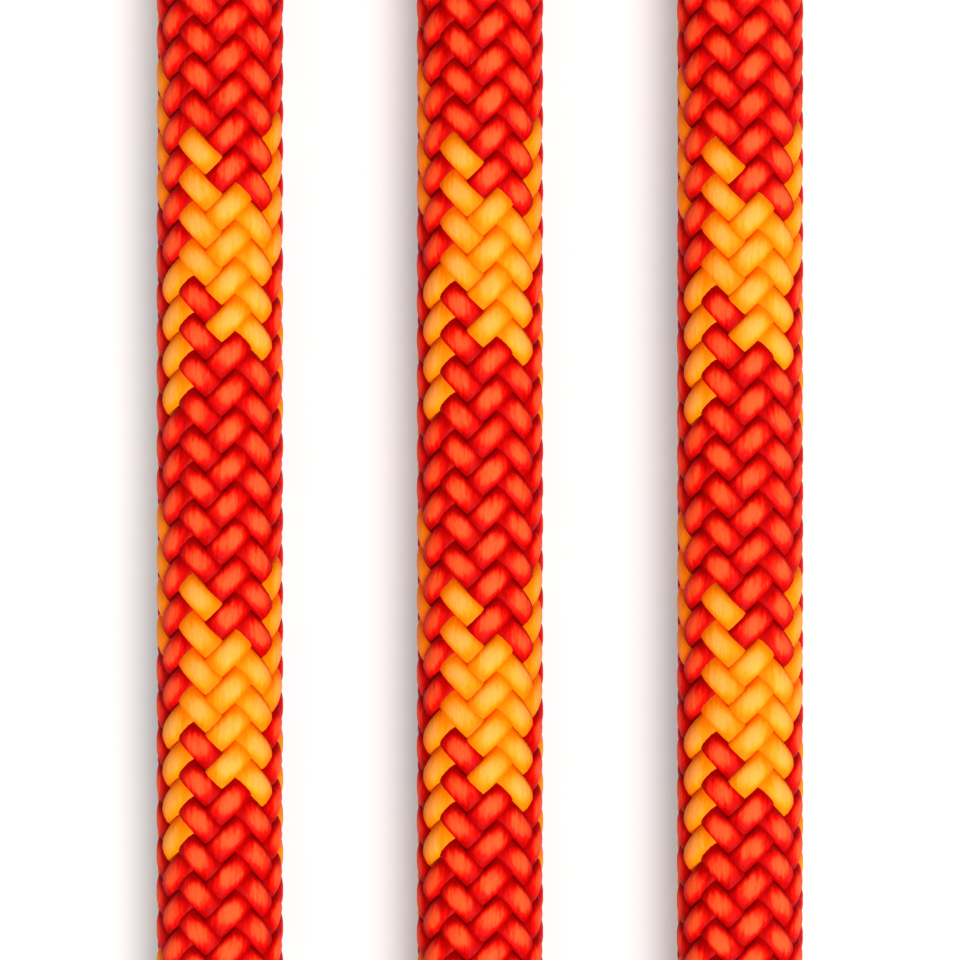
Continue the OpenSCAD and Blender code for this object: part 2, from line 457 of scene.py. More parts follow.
def is_vector(value):
    return isinstance(value, Link) and value.socket.type in ("VECTOR", "RGBA")


print("a link takes + - * / and a sign")


# %% Trees that take any node
class Tree:
    """Adds nodes to a node tree and links them."""

    def __init__(self, nodes):
        self.nodes = nodes

    def add(self, kind, settings=None, **values):
        """A new node. Its settings go first, then its inputs, named or as i0, i1 and so on."""
        node = self.nodes.nodes.new(kind)
        for name, value in (settings or {}).items():
            setattr(node, name, value)
        for name, value in values.items():
            numbered = name[0] == "i" and name[1:].isdigit()
            key = int(name[1:]) if numbered else name.replace("_", " ")
            socket = node.inputs[key]
            if isinstance(value, Link):
                self.nodes.links.new(value.socket, socket)
            else:
                socket.default_value = value
        return node

    def out(self, kind, settings=None, output=0, **values):
        return Link(self, self.add(kind, settings, **values).outputs[output])

    def maths(self, operation, *values):
        """A Math node, or a Vector Math node where a vector goes in."""
        vectors = [v for v in values if isinstance(v, tuple) or is_vector(v)]
        if operation == "MULTIPLY" and len(vectors) == 1:
            scalar = next(v for v in values if v is not vectors[0])
            return self.out("ShaderNodeVectorMath", {"operation": "SCALE"}, i0=vectors[0], i3=scalar)
        kind = "ShaderNodeVectorMath" if vectors else "ShaderNodeMath"
        return self.out(kind, {"operation": operation}, **{f"i{i}": v for i, v in enumerate(values)})

    def vector(self, x, y, z):
        return self.out("ShaderNodeCombineXYZ", X=x, Y=y, Z=z)

    def split(self, vector):
        node = self.add("ShaderNodeSeparateXYZ", Vector=vector)
        return [Link(self, s) for s in node.outputs]

    def between(self, value, low, high, to_low=0.0, to_high=1.0):
        """The value taken smoothly from one range to another."""
        return self.out(
            "ShaderNodeMapRange", {"interpolation_type": "SMOOTHSTEP"},
            Value=value, From_Min=low, From_Max=high, To_Min=to_low, To_Max=to_high,
        )


print("a tree has", [name for name in vars(Tree) if name[0] != "_"])


# %% Geometry Nodes trees
class Shaper(Tree):
    """A Geometry Nodes tree with named inputs."""

    def __init__(self, name, inputs):
        super().__init__(bpy.data.node_groups.new(name, "GeometryNodeTree"))
        face = self.nodes.interface
        face.new_socket("Geometry", in_out="INPUT", socket_type="NodeSocketGeometry")
        face.new_socket("Geometry", in_out="OUTPUT", socket_type="NodeSocketGeometry")
        for label, (kind, value) in inputs.items():
            socket = face.new_socket(label, in_out="INPUT", socket_type="NodeSocket" + kind)
            if value is not None:
                socket.default_value = value
        self.source = self.add("NodeGroupInput")

    def given(self, label):
        return Link(self, self.source.outputs[label])

    def named(self, label, data_type="FLOAT"):
        return self.out("GeometryNodeInputNamedAttribute", {"data_type": data_type}, Name=label)

    def arrow(self, label):
        return self.named(label, "FLOAT_VECTOR")

    def store(self, geometry, label, value, data_type="FLOAT", domain="POINT"):
        return self.out(
            "GeometryNodeStoreNamedAttribute", {"data_type": data_type, "domain": domain},
            Geometry=geometry, Name=label, Value=value,
        )

    def bake_map(self, geometry, u, v):
        """A UV map for the export's bake, from fields on the corners of the faces."""
        return self.store(geometry, "OFBake", self.vector(u, v, 0.0), "FLOAT2", "CORNER")

    def on_faces(self, value):
        return self.out("GeometryNodeFieldOnDomain", {"domain": "FACE"}, Value=value)

    def swept(self, line):
        """A tube on the line. Its corners count from 0 to 1 round it and get their places later."""
        sides = self.given("Sides")
        ring = self.out("GeometryNodeCurvePrimitiveCircle", Resolution=sides, i4=0.0005)
        ring = self.store(ring, "corner", self.out("GeometryNodeInputIndex") / sides)
        return self.out("GeometryNodeCurveToMesh", Curve=line, Profile_Curve=ring, Fill_Caps=True)

    def done(self, geometry, *labels):
        """Drops these attributes and ends the tree in smooth, real faces with the material set."""
        for label in labels:
            geometry = self.out("GeometryNodeRemoveAttribute", Geometry=geometry, Name=label)
        smooth = self.out("GeometryNodeSetShadeSmooth", Geometry=geometry, Shade_Smooth=True)
        real = self.out("GeometryNodeRealizeInstances", Geometry=smooth)
        dressed = self.out("GeometryNodeSetMaterial", Geometry=real, Material=self.given("Material"))
        self.add("NodeGroupOutput", i0=dressed)
        print("tree", self.nodes.name, "has", len(self.nodes.nodes), "nodes")
        return self.nodes


print("a Geometry Nodes tree also has", [name for name in vars(Shaper) if name[0] != "_"])

# %% [markdown]
# A tree needs a mesh to start from. Here it is a row of points that carries what the tree asks
# for, such as the rope's directions. What the tree makes is turned into a plain mesh at once, so
# that each piece is an object with nothing live on it.


# %% Starting points and plain meshes
def point_mesh(name, at, joined=True, **values):
    """Points in millimetres, joined in a line or loose, that carry numbers and vectors."""
    mesh = bpy.data.meshes.new(name)
    edges = [(i, i + 1) for i in range(len(at) - 1)] if joined else []
    mesh.from_pydata((at * MM).tolist(), edges, [])
    for label, value in values.items():
        value = np.asarray(value, float)
        kind, field = ("FLOAT_VECTOR", "vector") if value.ndim == 2 else ("FLOAT", "value")
        mesh.attributes.new(label, kind, "POINT").data.foreach_set(field, value.ravel())
    return mesh


def rope_seed(name, distance, **values):
    """Points along the rope that carry its directions, lay and twist."""
    at, across, up = places(distance)
    return point_mesh(
        name, at,
        across=across,
        up=up,
        lay=lay_at(distance),
        ring=np.arange(len(at)) / (len(at) - 1),
        twist=np.radians(blended(distance, twists)),
        **values,
    )


def grown(name, start, tree, values):
    """A plain mesh made by a Geometry Nodes tree from the starting mesh."""
    seed = put(name + "_seed", start)
    modifier = seed.modifiers.new("shape", "NODES")
    modifier.node_group = tree
    for socket in tree.interface.items_tree:
        if socket.in_out == "INPUT" and socket.name in values:
            modifier[socket.identifier] = values[socket.name]
    bpy.context.view_layer.update()
    graph = bpy.context.evaluated_depsgraph_get()
    mesh = bpy.data.meshes.new_from_object(seed.evaluated_get(graph), depsgraph=graph)
    mesh.name = name
    bpy.data.objects.remove(seed)
    print(name, "has", sum(len(f.vertices) - 2 for f in mesh.polygons), "triangles")
    return put(name, mesh)


print("the rope's ends, mm:", points_at([0.0, rope_length]).round(1).tolist())

# %% [markdown]
# A material is a node tree too. Each one here is a single Principled shader: what is the same all
# over a surface is set on its sockets, and only what varies is linked to them.


# %% Materials
class Paint(Tree):
    """A material whose shader is one Principled BSDF."""

    def __init__(self, name, **plain):
        self.material = bpy.data.materials.new(name)
        self.material.use_nodes = True
        super().__init__(self.material.node_tree)
        self.shader = self.nodes.nodes["Principled BSDF"]
        for label, value in plain.items():
            self.shader.inputs[label.replace("_", " ")].default_value = value

    def report(self):
        print("material", self.material.name, "has", len(self.nodes.nodes), "nodes")

    def set(self, label, link):
        self.nodes.links.new(link.socket, self.shader.inputs[label])

    def attribute(self, label, output="Fac"):
        node = self.add("ShaderNodeAttribute", {"attribute_name": label})
        return Link(self, node.outputs[output])

    def here(self):
        """The place on the object, in metres."""
        return self.out("ShaderNodeTexCoord", output=3)

    def mix(self, factor, a, b):
        return self.out("ShaderNodeMix", {"data_type": "RGBA"}, output=2, i0=factor, i6=a, i7=b)

    def noise(self, vector, scale, detail=2.0):
        return self.out("ShaderNodeTexNoise", Vector=vector, Scale=scale, Detail=detail)

    def bump(self, height, strength, distance):
        bump = self.out("ShaderNodeBump", Strength=strength, Distance=distance, Height=height)
        self.set("Normal", bump)


print("a material also has", [name for name in vars(Paint) if name[0] != "_"])

# %% [markdown]
# ## Nylon yarn
#
# A yarn is hundreds of fine nylon threads with a soft shine. Two looks come together here: fine
# streaks that follow the threads, drawn by a noise that is stretched along them, and painted light:
# a painted shade, fuller and darker, low in the braid, where light has bounced from yarn to yarn, and
# a painted highlight, lighter and more orange, on the crown of each float. Both yarn colours share
# the one function.

# %% The look of nylon yarn
# Painted shade colours, the yarns' own colours and painted highlight colours, in red and yellow
painted_shade_red = (0.37, 0.0, 0.0, 1)
full_red = (0.72, 0.003, 0.001, 1)
painted_highlight_red = (0.88, 0.082, 0.019, 1)
painted_shade_yellow = (0.90, 0.165, 0.0, 1)
full_yellow = (0.91, 0.24, 0.004, 1)
painted_highlight_yellow = (0.92, 0.330, 0.052, 1)
yarn_gloss = 0.03


def yarn_look(paint, yellow, crown, grain):
    """Colour with painted highlight and shade, shine and thread streaks of the sheath's yarns."""
    # Fine streaks and soft patches, which the yarn's number makes different on each yarn
    x, y, number = paint.split(grain)
    threads = paint.noise(paint.vector(x * 3.6, y * 0.7, number * 7.3), 1.0, 3.0)
    patches = paint.noise(paint.vector(x * 0.8, y * 0.5, number * 3.1), 1.0, 1.0)
    level = crown + (threads - 0.5) * 0.45 + (patches - 0.5) * 0.3
    # Painted highlight where the level is high, painted shade where it is low
    rise = paint.between(level, 0.70, 1.06)
    sink = paint.between(level, 0.49, 0.79)
    red = paint.mix(rise, paint.mix(sink, painted_shade_red, full_red), painted_highlight_red)
    gold = paint.mix(rise, paint.mix(sink, painted_shade_yellow, full_yellow), painted_highlight_yellow)
    paint.set("Roughness", paint.between(threads, 0.2, 0.8, 0.42, 0.62))
    return threads, paint.mix(yellow, red, gold)


yarn_paint = Paint("braided_yarn", Specular_IOR_Level=yarn_gloss)
threads, colour = yarn_look(
    yarn_paint,
    yarn_paint.attribute("yellow"),
    yarn_paint.attribute("crown"),
    yarn_paint.attribute("grain", "Vector"),
)
yarn_paint.set("Base Color", colour)
yarn_paint.bump(threads, 0.5, 0.00012)
yarn_paint.report()

# %% [markdown]
# ## The braid, yarn by yarn
#
# Where the rope lies free, each of the twenty-four yarns is a real strand. The tree below copies
# the rope's own line once for each yarn, moves each copy out to its place round the rope, lets it
# rise over two yarns and dive under two, and gives it a flattened round section. Drawing the yarns
# this way is what makes the floats plump and lets light fall into the gaps between them.
#
# First comes where a yarn runs. The first twelve lean one way and the others lean the other way.
# A wave along each yarn says where it is on top, and the same wave, a quarter later, sways it to
# and fro.


# %% Where each yarn runs
def yarn_run(tree):
    """Way and place of this copy's yarn, its height wave and its angle round the rope."""
    back = tree.maths("LESS_THAN", tree.named("yarn"), yarns_each_way - 0.5)
    way = 1 - back * 2
    place = tree.named("yarn") - (1 - back) * yarns_each_way
    start = math.radians(column_angle) + (1 - back) * (1.5 * yarn_step)
    flat_angle = start + way * (tree.named("lay") * FULL_TURN) + place * yarn_step
    from_column = (flat_angle - math.radians(column_angle)) * waves_per_lay
    wave = tree.maths("COSINE", from_column) * -way
    sway = tree.maths("SINE", from_column) * -way * tree.given("Sway")
    return back, place, way, wave, flat_angle + sway + tree.named("twist")


def spoke_at(tree, angle):
    """The direction out from the rope's middle at this angle from its top."""
    upwards = tree.arrow("up") * tree.maths("COSINE", angle)
    return upwards + tree.arrow("across") * tree.maths("SINE", angle)


print("a float is two steps of", round(math.degrees(yarn_step) / 2), "degrees long")

# %% [markdown]
# Four neighbours of each twelve yarns are yellow, and where they cross, the yellow figure comes
# up. In each of the two bends one carrier changes place with its neighbour, while it passes under,
# so that the figure is the same on all three runs.

# %% Which yarns are yellow
forth_shift = 2


def is_gold(tree, number):
    """1 for the yellow yarns, counted round the rope, and 0 for the red ones."""
    counted = tree.maths("FLOORED_MODULO", number, float(yarns_each_way))
    return tree.maths("LESS_THAN", counted, yellow_yarns - 0.5)


def swapped(tree, place, back):
    """1 between the two changes of place, for the yarns that lean forth."""
    pass_under = place * (-1 / yarns_each_way) - 1.5 / yarns_each_way

    def beyond(label):
        passes = tree.maths("ROUND", (tree.given(label) - pass_under) * waves_per_lay)
        return tree.maths("GREATER_THAN", tree.named("lay"), passes / waves_per_lay + pass_under)

    return (beyond("First swap") - beyond("Second swap")) * (1 - back)


print(yellow_yarns, "of", yarns_each_way, "yarns are yellow each way")

# %% [markdown]
# A yarn's skin is a ring of points round its line. It is as wide as the gap to its neighbour
# allows and about half as thick. The threads' own coordinates, the level of painted highlight and
# shade, and a map with one strip for each yarn are worked out on the same points.


# %% The yarn's section, threads and map
def yarn_section(tree, mesh):
    """Swells the swept ring to the yarn's section, and stores the threads and the painted light level."""
    along = tree.maths("COSINE", tree.named("corner") * FULL_TURN)
    raised = tree.maths("SINE", tree.named("corner") * FULL_TURN)
    width = tree.given("Half width") * along
    thick = tree.given("Half thickness") * raised * (1.25 - raised * raised * 0.25)
    skin = tree.arrow("middle") + tree.arrow("side") * width + tree.arrow("outward") * thick
    mesh = tree.out("GeometryNodeSetPosition", Geometry=mesh, Position=skin)

    # The grain is in millimetres on the rope's surface, along it and round it
    lean = math.atan(FULL_TURN * rope_r / lay_length)
    grain = tree.vector(
        tree.named("angle") * rope_r + width * (math.cos(lean) / MM),
        tree.named("lay") * lay_length - tree.named("lean") * width * (math.sin(lean) / MM),
        tree.named("yarn"),
    )
    mesh = tree.store(mesh, "grain", grain, "FLOAT_VECTOR")

    # The painted light level: a painted highlight along the middle of a float,
    # and painted shade at its edges and its ends
    edge = tree.maths("POWER", tree.maths("ABSOLUTE", along), 2.5)
    painted_light_level = (1 - edge * 0.58) * (tree.named("wave") * 0.98 + 0.08)
    return tree.store(mesh, "crown", painted_light_level)


def yarn_map(tree, mesh):
    """One strip of the map for each yarn. A ring's last side closes at the strip's far edge."""
    last = tree.on_faces(tree.maths("GREATER_THAN", tree.named("corner"), 0.35))
    closing = last * tree.maths("LESS_THAN", tree.named("corner"), 0.01)
    strip = (tree.named("yarn") + tree.named("corner") + closing) / yarn_count
    return tree.bake_map(mesh, tree.named("ring"), strip)


print("the map has", yarn_count, "strips")

# %% [markdown]
# The tree now puts these together: copies of the line, their places, the directions along each
# yarn, and a ring of points swept along it.


# %% Tree: yarns round the rope's line
def make_yarn_tree():
    tree = Shaper("braided_yarns", {
        "Yarns": ("Int", yarn_count),
        "Middle radius": ("Float", 0.0042),
        "Dive": ("Float", 0.0004),
        "Half width": ("Float", 0.001),
        "Half thickness": ("Float", 0.0004),
        "Sway": ("Float", 0.05),
        "Sides": ("Int", 12),
        "First swap": ("Float", 0.0),
        "Second swap": ("Float", 0.0),
        "Material": ("Material", None),
    })
    line = tree.out("GeometryNodeMeshToCurve", Mesh=tree.given("Geometry"))
    by_line = {"domain": "SPLINE"}
    copies = tree.add("GeometryNodeDuplicateElements", by_line, Geometry=line, Amount=tree.given("Yarns"))
    number = Link(tree, copies.outputs["Duplicate Index"])
    yarns = tree.store(Link(tree, copies.outputs["Geometry"]), "yarn", number)

    back, place, way, wave, angle = yarn_run(tree)
    height = wave * (1.4 - wave * wave * 0.4)
    spoke = spoke_at(tree, angle)
    out_r = tree.given("Middle radius") + tree.given("Dive") * height
    middle = tree.out("GeometryNodeInputPosition") + spoke * out_r
    counted = place + swapped(tree, place, back) + (1 - back) * forth_shift
    numbers = {"yellow": is_gold(tree, counted), "lean": way, "angle": angle, "wave": wave}
    for label, value in numbers.items():
        yarns = tree.store(yarns, label, value)
    yarns = tree.store(yarns, "spoke", spoke, "FLOAT_VECTOR")
    yarns = tree.out("GeometryNodeSetPosition", Geometry=yarns, Position=middle)

    ahead = tree.out("GeometryNodeInputTangent")
    side = tree.maths("NORMALIZE", tree.maths("CROSS_PRODUCT", ahead, tree.arrow("spoke")))
    outward = tree.maths("CROSS_PRODUCT", side, ahead)
    middle = tree.out("GeometryNodeInputPosition")
    for label, value in {"side": side, "outward": outward, "middle": middle}.items():
        yarns = tree.store(yarns, label, value, "FLOAT_VECTOR")

    mesh = yarn_map(tree, yarn_section(tree, tree.swept(yarns)))
    return tree.done(
        mesh, "across", "up", "lay", "twist", "ring", "yarn", "lean", "angle", "spoke",
        "wave", "side", "outward", "middle", "corner",
    )


yarn_tree = make_yarn_tree()

# %% [markdown]
# The sheath is made in stretches, so that no piece grows too heavy. The three runs come first.
# They are seen closest, so each yarn there has twelve sides and four rings to a crossing.

# %% The three runs
yarn_half_width = 1.05
yarn_half_thickness = 0.53
yarn_dive = 0.43
yarn_sway = 3.0
yarn_middle_r = rope_r - yarn_dive - yarn_half_thickness
first_swap = (marks["left_high"] + marks["middle_high"]) / 2
second_swap = (marks["middle_low"] + marks["right_low"]) / 2


def braided(name, low, high, sides, steps):
    """One stretch of sheath, with so many rings between two crossings of its yarns."""
    count = max(2, round((high - low) / crossing * steps))
    distance = np.linspace(low, high, count + 1)
    return grown(name, rope_seed(name, distance), yarn_tree, {
        "Middle radius": yarn_middle_r * MM,
        "Dive": yarn_dive * MM,
        "Half width": yarn_half_width * MM,
        "Half thickness": yarn_half_thickness * MM,
        "Sway": math.radians(yarn_sway),
        "Sides": sides,
        "First swap": float(lay_at(first_swap)),
        "Second swap": float(lay_at(second_swap)),
        "Material": yarn_paint.material,
    })


braid = [
    braided("sheath_left_run", marks["left_low"], marks["left_high"], 12, 4),
    braided("sheath_middle_run", marks["middle_high"], marks["middle_low"], 12, 4),
    braided("sheath_right_run", marks["right_low"], marks["right_high"], 12, 4),
]

# %% [markdown]
# The two bends, the end that shows its sleeve and the stretches in and out of the coil are made by
# the same tree. They are seen from further away, so each yarn there has fewer sides and rings.

# %% Bends, lead and tail
braid += [
    braided("sheath_near_end", marks["start"] + sleeve_length, marks["left_low"], 8, 2),
    braided("sheath_top_bend", marks["left_high"], marks["middle_high"], 8, 2),
    braided("sheath_bottom_bend", marks["middle_low"], marks["right_low"], 8, 2),
    braided("sheath_coil_lead", marks["right_high"], marks["coil_start"], 8, 2),
    braided("sheath_far_end", marks["coil_end"], marks["end"] - sleeve_length, 8, 2),
]

# %% [markdown]
# ## Braided skin for the coil
#
# Sixty metres of rope holds about a quarter of a million floats, too many to draw each as a strand.
# On the coil the sheath is one skin. It has a high point at the middle of each float and a low one
# in the valley between two floats, so the outline and the light still show the weave. Two kinds of
# column alternate round the rope, and crowns and valleys alternate along each.


# %% The skin's relief
def columns(tree, around):
    """A wave that peaks in the middle of each column, and 1 in every other column."""
    column = tree.maths("COSINE", around * waves_per_lay)
    return tree.maths("ABSOLUTE", column), tree.maths("GREATER_THAN", column, 0.0)


def relief_height(tree, around, turned):
    """How far the skin stands out from the rope's radius."""
    inside, first = columns(tree, around)
    back = (around + turned) * yarns_each_way
    forth = (around - turned) * yarns_each_way - 3 * math.pi
    float_wave = tree.maths("COSINE", back * first + forth * (1 - first))
    rise, valley, edge = tree.given("Raise"), tree.given("Valley"), tree.given("Edge")
    crown = (rise + valley) / 2 + (rise - valley) / 2 * float_wave
    return crown * inside + edge * (1 - inside)


print(yarns_each_way, "columns of floats lie round the rope")

# %% [markdown]
# Each face of the skin is cut in two along its float, so that a crown is a ridge and not a saw.
# The map's rows are stretches of rope, and each face stays whole in its row.


# %% The skin's map and cuts
def skin_map(tree, mesh):
    ring = tree.maths("FLOOR", (tree.out("GeometryNodeInputIndex") + 0.5) / tree.given("Sides"))
    rows = tree.given("Rows")
    row = tree.on_faces(tree.maths("FLOOR", ring * rows / (tree.given("Rings") - 1) + 0.0001))
    last = tree.on_faces(tree.maths("GREATER_THAN", tree.named("corner"), 0.4))
    closing = last * tree.maths("LESS_THAN", tree.named("corner"), 0.001)
    v = (row + (tree.named("corner") + closing)) / rows
    return tree.bake_map(mesh, tree.named("ring") * rows - row, v)


def cut_along_floats(tree, mesh):
    sides = tree.given("Sides")
    side_middle = tree.maths("FLOORED_MODULO", tree.out("GeometryNodeInputIndex"), sides) + 0.5
    column = tree.maths("COSINE", side_middle / sides * (FULL_TURN * waves_per_lay))
    leans_back = tree.on_faces(tree.maths("GREATER_THAN", column, 0.0))
    mesh = tree.store(mesh, "leans", leans_back, "FLOAT", "FACE")
    chosen = tree.maths("GREATER_THAN", tree.named("leans"), 0.5)
    cut = {"quad_method": "FIXED_ALTERNATE", "ngon_method": "BEAUTY"}
    mesh = tree.out("GeometryNodeTriangulate", cut, Mesh=mesh, Selection=chosen)
    cut = {"quad_method": "FIXED", "ngon_method": "BEAUTY"}
    return tree.out("GeometryNodeTriangulate", cut, Mesh=mesh)


print("a skin has", yarn_count, "sides and", crossings_per_lay, "rings to a lay")

# %% [markdown]
# The tree sweeps a ring along the rope and then moves each point out to its place. The radius
# comes with the points of the line, so the same tree makes any round part of the rope.


# %% Tree: a skin round the rope's line
covered_below = 0.0046
full_relief_r = 0.004


def make_skin_tree():
    tree = Shaper("rope_skin", {
        "Sides": ("Int", yarn_count),
        "Rows": ("Int", 12),
        "Rings": ("Int", 100),
        "Raise": ("Float", 0.0001),
        "Valley": ("Float", -0.00035),
        "Edge": ("Float", -0.00025),
        "Material": ("Material", None),
    })
    line = tree.out("GeometryNodeMeshToCurve", Mesh=tree.given("Geometry"))
    line = tree.store(line, "rope", tree.out("GeometryNodeInputPosition"), "FLOAT_VECTOR")
    mesh = tree.swept(line)

    # The relief fades out towards the middle of an end face, and nothing sinks into the table
    around = tree.named("corner") * FULL_TURN
    height = relief_height(tree, around, tree.named("lay") * FULL_TURN)
    fading = tree.maths("MINIMUM", tree.named("reach") * (1 / full_relief_r), 1.0)
    spoke = spoke_at(tree, around + math.radians(column_angle) + tree.named("twist"))
    x, y, z = tree.split(tree.arrow("rope") + spoke * (tree.named("reach") + height * fading))
    pressed = tree.vector(x, y, tree.maths("MAXIMUM", z, 0.0))
    mesh = tree.out("GeometryNodeSetPosition", Geometry=mesh, Position=pressed)

    weave = tree.vector(tree.maths("COSINE", around), tree.maths("SINE", around), tree.named("lay"))
    mesh = tree.store(mesh, "weave", weave, "FLOAT_VECTOR")
    mesh = tree.store(mesh, "covered", tree.maths("LESS_THAN", tree.named("reach"), covered_below))
    mesh = cut_along_floats(tree, skin_map(tree, mesh))
    return tree.done(
        mesh, "across", "up", "lay", "twist", "ring", "reach", "rope", "corner", "leans",
    )


skin_tree = make_skin_tree()

# %% [markdown]
# The coil's yarns are drawn by its material, from the same two numbers as the relief: the angle
# round the rope, and the lay. They give each point its column, its yarn and how far across the
# yarn it is, which sets the painted highlight and shade. Where the drawn yarns cover the rope, it
# shows only a darker red or orange, a painted shade for the gaps between them.

# %% Material: the coil's sheath
# Painted shade: darker red and orange for the gaps where the drawn yarns cover the rope
gap_shade_red = (0.65, 0.0, 0.0, 1)
gap_shade_yellow = (0.85, 0.2, 0.0, 1)
skin_paint = Paint("braided_sheath", Specular_IOR_Level=yarn_gloss)
side_x, side_y, lays = skin_paint.split(skin_paint.attribute("weave", "Vector"))
around = skin_paint.maths("ARCTAN2", side_y, side_x)
turned = lays * FULL_TURN
inside, first = columns(skin_paint, around)
back_angle = around + turned
forth_angle = around - turned - 1.5 * yarn_step
place = (back_angle * first + forth_angle * (1 - first)) / yarn_step
number = skin_paint.maths("ROUND", place)
yellow = is_gold(skin_paint, number + (1 - first) * forth_shift)
across_yarn = skin_paint.maths("ABSOLUTE", (place - number) * 2)
round_yarn = 1 - skin_paint.maths("POWER", across_yarn, 2.5)
# The crown sets the painted highlight on a float's middle and the painted shade at its edges and ends
crown = round_yarn * skin_paint.maths("POWER", inside, 0.6) * 0.75 + 0.25
grain = skin_paint.vector(around * rope_r, lays * lay_length, number + (1 - first) * 31)
threads, colour = yarn_look(skin_paint, yellow, crown, grain)

gold_back = is_gold(skin_paint, skin_paint.maths("ROUND", back_angle / yarn_step))
forth_number = skin_paint.maths("ROUND", forth_angle / yarn_step)
gold_forth = is_gold(skin_paint, forth_number + forth_shift)
# Painted shade in the gaps: orange where two yellow yarns cross, red elsewhere
under = skin_paint.mix(gold_back * gold_forth, gap_shade_red, gap_shade_yellow)
skin_paint.set("Base Color", skin_paint.mix(skin_paint.attribute("covered"), colour, under))
skin_paint.bump(crown + threads * 0.12, 0.8, 0.0006)
skin_paint.report()

# %% [markdown]
# Only the turns that can be seen get this skin: the first ones, and the 21 that end the winding,
# in four pieces. Their rings stand exactly at the middles of the floats.

# %% Skins of the coil's outer turns
skin_r = 4.88
sheath_relief = (0.1, -0.35, -0.25)
outer_pieces = 4
margin = 2


def ringed(low, high):
    """Distances along the rope at which floats have their middles, from low to high."""
    start = at_left - whole_lays(at_right) * lay_length
    first = math.ceil((low - start) / crossing)
    last = math.floor((high - start) / crossing)
    return start + np.arange(first, last + 1) * crossing


def skinned(name, distance, radius, sides, paint, relief):
    """A closed skin round the rope over these distances. The radius may change along it."""
    reach = np.broadcast_to(np.asarray(radius, float) * MM, len(distance))
    rows = max(1, round(math.sqrt((distance[-1] - distance[0]) / (FULL_TURN * rope_r))))
    raised, valley, edge = relief
    return grown(name, rope_seed(name, distance, reach=reach), skin_tree, {
        "Sides": sides,
        "Rows": rows,
        "Rings": len(distance),
        "Raise": raised * MM,
        "Valley": valley * MM,
        "Edge": edge * MM,
        "Material": paint.material,
    })


def sheath_skin(name, distance):
    return skinned(name, distance, skin_r, yarn_count, skin_paint, sheath_relief)


first_turns = ringed(marks["coil_start"] - margin, marks["dive_deep"])
skins = [sheath_skin("sheath_first_turns", first_turns)]
last_turns = ringed(marks["climb_out"], marks["coil_end"] + margin)
last_run = marks["coil_end"] - marks["climb_out"]
cuts = [marks["climb_out"] + last_run * i / outer_pieces for i in range(outer_pieces + 1)]
for i in range(outer_pieces):
    part = last_turns[(last_turns >= cuts[i] - crossing) & (last_turns <= cuts[i + 1] + 0.01)]
    skins.append(sheath_skin(f"sheath_outer_turns_{i + 1}", part))

# %% [markdown]
# ## One rope from end to end
#
# Under the braid runs the rope itself, one tube on the whole line of sixty metres. Inside the coil
# it has the sheath's full thickness, and under the drawn yarns it is thinner, so that only its
# darker colour, a painted shade for the gaps, shows between them.

# %% The whole rope
covered_r = 4.38
hidden_r = 4.93
blend_run = 30
end_inset = 1.2
ring_count = 10001


def tube_radius(distance):
    """The tube's radius: full in the hidden turns, thinner where yarns or a skin cover it."""
    going_in = eased((distance - marks["dive_deep"] + blend_run) / blend_run)
    coming_out = eased((marks["climb_out"] + blend_run - distance) / blend_run)
    return covered_r + (hidden_r - covered_r) * (going_in * coming_out)


rope_rings = np.linspace(0, rope_length, ring_count)
rope_rings[0] += end_inset
rope_rings[-1] -= end_inset
rope = skinned("rope", rope_rings, tube_radius(rope_rings), 8, skin_paint, (0, 0, 0))

# %% [markdown]
# ## Sleeves
#
# Each end of a rope is held by a sleeve of black plastic that is shrunk over it with heat. It is
# thin, so the braid shows through as a soft relief. Its surface is satin, a little clouded and
# scuffed, so two noises, a large one and a fine one, vary the black, the shine and the bump.

# %% Material: shrunk sleeve
sleeve_black = (0.007, 0.007, 0.008, 1)
clouded_black = (0.014, 0.014, 0.016, 1)
scuffed_grey = (0.05, 0.05, 0.054, 1)
sleeve_paint = Paint("shrunk_sleeve", Specular_IOR_Level=0.25)
clouds = sleeve_paint.noise(sleeve_paint.here(), 180.0, 4.0)
scuffs = sleeve_paint.noise(sleeve_paint.here(), 900.0, 3.0)
worn = sleeve_paint.between(scuffs + clouds * 0.3, 0.62, 0.85)
black = sleeve_paint.mix(clouds, sleeve_black, clouded_black)
sleeve_paint.set("Base Color", sleeve_paint.mix(worn * 0.25, black, scuffed_grey))
sleeve_paint.set("Roughness", 0.40 + worn * 0.15)
sleeve_paint.bump(scuffs, 0.25, 0.00008)
sleeve_paint.report()

# %% [markdown]
# ## Fused tips
#
# Where a rope is cut, the nylon is melted so that nothing can fray. It sets as a hard, glossy
# amber cap with burnt spots. A thin coat gives the gloss, and the spots are a finer noise.

# %% Material: melted nylon
dark_amber = (0.16, 0.035, 0.008, 1)
light_amber = (0.62, 0.25, 0.05, 1)
burnt = (0.05, 0.012, 0.004, 1)
tip_paint = Paint("melted_nylon", Specular_IOR_Level=0.5, Coat_Weight=0.6, Coat_Roughness=0.15)
blots = tip_paint.noise(tip_paint.here(), 420.0, 3.0)
pores = tip_paint.noise(tip_paint.here(), 1600.0, 2.0)
amber = tip_paint.mix(tip_paint.between(blots, 0.35, 0.65), dark_amber, light_amber)
tip_paint.set("Base Color", tip_paint.mix(tip_paint.between(pores, 0.6, 0.75), amber, burnt))
tip_paint.set("Roughness", tip_paint.between(blots, 0.3, 0.7, 0.2, 0.45))
tip_paint.bump(blots + pores * 0.3, 0.6, 0.0004)
tip_paint.report()

# %% [markdown]
# Both are turned shapes, so they could be spun from a profile. The skin tree does that already, and
# it carries the braid along, so it is used again: only the radius along the rope and the depth of
# the relief are new.

